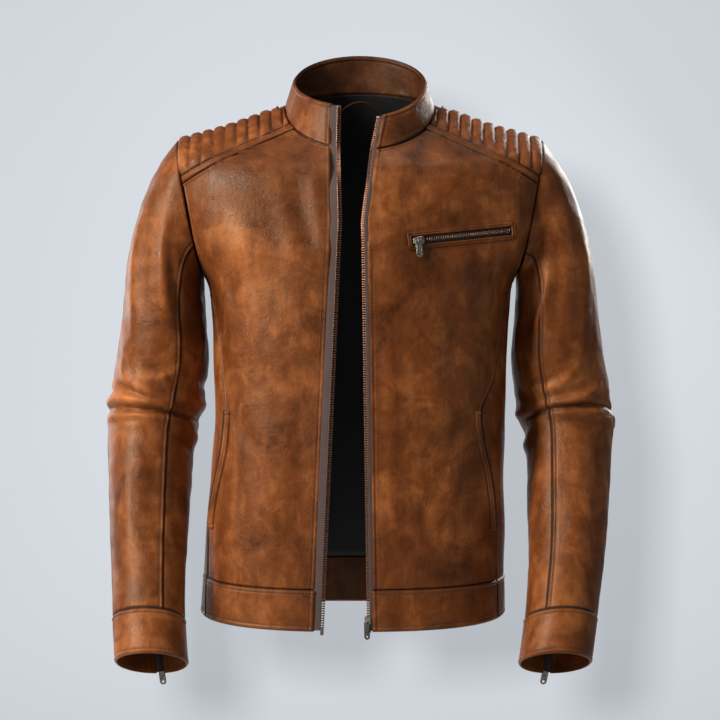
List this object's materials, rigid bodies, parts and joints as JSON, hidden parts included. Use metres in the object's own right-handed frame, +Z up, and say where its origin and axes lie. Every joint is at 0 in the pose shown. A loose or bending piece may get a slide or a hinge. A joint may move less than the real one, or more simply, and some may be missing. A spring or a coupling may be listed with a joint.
{
  "type": "leather riding jacket",
  "caption": "Waist-length tan leather riding jacket with a stand collar, quilted shoulders, an open front zip, a zipped chest pocket, slanted hand pockets and zipped cuff vents.",
  "frame": {"origin": "where the hanger loop inside the back neck rests on its hook", "axes": "+Z up, the fronts face -Y, +X is the wearer's left"},
  "size_m": [0.64, 0.278, 0.7939],
  "materials": {
    "tan_leather": "burnished tan full-grain leather, satin, mottled darker brown, fine creases",
    "inner_leather": "dark brown leather on the inside edges, matt",
    "lining_cloth": "near-black twill lining",
    "zip_tape": "dark brown woven zip tape",
    "copper_teeth": "aged copper zip teeth",
    "aged_nickel": "antique nickel, rubbed bright on its edges"
  },
  "bodies": {
    "root": {"front_panel_left": "tan_leather", "side_panel_left": "tan_leather", "quilted_shoulder_left": "tan_leather", "shoulder_strip_left": "tan_leather", "hem_band_left": "tan_leather", "hand_pocket_welt_left": "tan_leather", "front_panel_right": "tan_leather", "side_panel_right": "tan_leather", "quilted_shoulder_right": "tan_leather", "shoulder_strip_right": "tan_leather", "hem_band_right": "tan_leather", "hand_pocket_welt_right": "tan_leather", "back_panel": "tan_leather", "back_yoke": "tan_leather", "hem_band_back": "tan_leather", "collar_outer": "tan_leather", "collar_inner": "tan_leather", "chest_pocket_frame": "tan_leather", "front_facing_left": "inner_leather", "front_facing_right": "inner_leather", "hem_facing": "inner_leather", "body_lining_left": "lining_cloth", "body_lining_right": "lining_cloth", "body_lining_back": "lining_cloth", "hanger_loop": "inner_leather", "zip_tape_left": "zip_tape", "zip_tape_right": "zip_tape", "zip_teeth_left": "copper_teeth", "zip_teeth_right": "copper_teeth", "top_stop_left": "aged_nickel", "top_stop_right": "aged_nickel", "retainer_box": "aged_nickel", "insertion_pin": "aged_nickel", "chest_zip_tape": "zip_tape", "chest_zip_teeth": "copper_teeth", "chest_pocket_bag": "lining_cloth", "hand_pocket_bag_left": "lining_cloth", "hand_pocket_bag_right": "lining_cloth"},
    "main_slider": {"main_slider": "aged_nickel"},
    "main_pull": {"main_pull_tab": "aged_nickel"},
    "chest_slider": {"chest_slider": "aged_nickel"},
    "chest_pull": {"chest_pull_tab": "aged_nickel"},
    "sleeve_left": {"upper_sleeve_left": "tan_leather", "under_sleeve_left": "tan_leather", "cuff_left": "tan_leather", "sleeve_lining_left": "lining_cloth", "cuff_zip_tape_left": "zip_tape", "cuff_zip_teeth_left": "copper_teeth"},
    "cuff_slider_left": {"cuff_slider_left": "aged_nickel"},
    "cuff_pull_left": {"cuff_pull_tab_left": "aged_nickel"},
    "sleeve_right": {"upper_sleeve_right": "tan_leather", "under_sleeve_right": "tan_leather", "cuff_right": "tan_leather", "sleeve_lining_right": "lining_cloth", "cuff_zip_tape_right": "zip_tape", "cuff_zip_teeth_right": "copper_teeth"},
    "cuff_slider_right": {"cuff_slider_right": "aged_nickel"},
    "cuff_pull_right": {"cuff_pull_tab_right": "aged_nickel"}
  },
  "joints": [
    {"name": "main_zip_slide", "type": "slide", "parent": "root", "child": "main_slider", "axis": [-0.0142, -0.0211, 0.9997], "range_m": [0, 0.44]},
    {"name": "main_pull_swing", "type": "hinge", "parent": "main_slider", "child": "main_pull", "pos_m": [0.00826, -0.16812, -0.65022], "axis": [-0.7986, 0.6018, 0.0013], "range_deg": [0, 150]},
    {"name": "chest_zip_slide", "type": "slide", "parent": "root", "child": "chest_slider", "axis": [0.9615, 0.2482, 0.1182], "range_m": [0, 0.106]},
    {"name": "chest_pull_swing", "type": "hinge", "parent": "chest_slider", "child": "chest_pull", "pos_m": [0.06973, -0.17533, -0.19216], "axis": [-0.9615, -0.2482, -0.1182], "range_deg": [0, 150]},
    {"name": "sleeve_swing_left", "type": "hinge", "parent": "root", "child": "sleeve_left", "pos_m": [0.2135, -0.053, -0.149], "axis": [-0.9808, 0, 0.195], "range_deg": [-15, 25]},
    {"name": "cuff_zip_slide_left", "type": "slide", "parent": "sleeve_left", "child": "cuff_slider_left", "axis": [0.1651, 0.4629, 0.8709], "range_m": [0, 0.077]},
    {"name": "cuff_pull_swing_left", "type": "hinge", "parent": "cuff_slider_left", "child": "cuff_pull_left", "pos_m": [0.22768, -0.12662, -0.71226], "axis": [0.977, 0.0442, -0.2088], "range_deg": [-25, 110]},
    {"name": "sleeve_swing_right", "type": "hinge", "parent": "root", "child": "sleeve_right", "pos_m": [-0.2135, -0.053, -0.149], "axis": [-0.9808, 0, -0.195], "range_deg": [-15, 25]},
    {"name": "cuff_zip_slide_right", "type": "slide", "parent": "sleeve_right", "child": "cuff_slider_right", "axis": [-0.091, 0.4674, 0.8793], "range_m": [0, 0.077]},
    {"name": "cuff_pull_swing_right", "type": "hinge", "parent": "cuff_slider_right", "child": "cuff_pull_right", "pos_m": [-0.24316, -0.12661, -0.71223], "axis": [0.9864, -0.0787, 0.144], "range_deg": [-25, 110]}
  ]
}
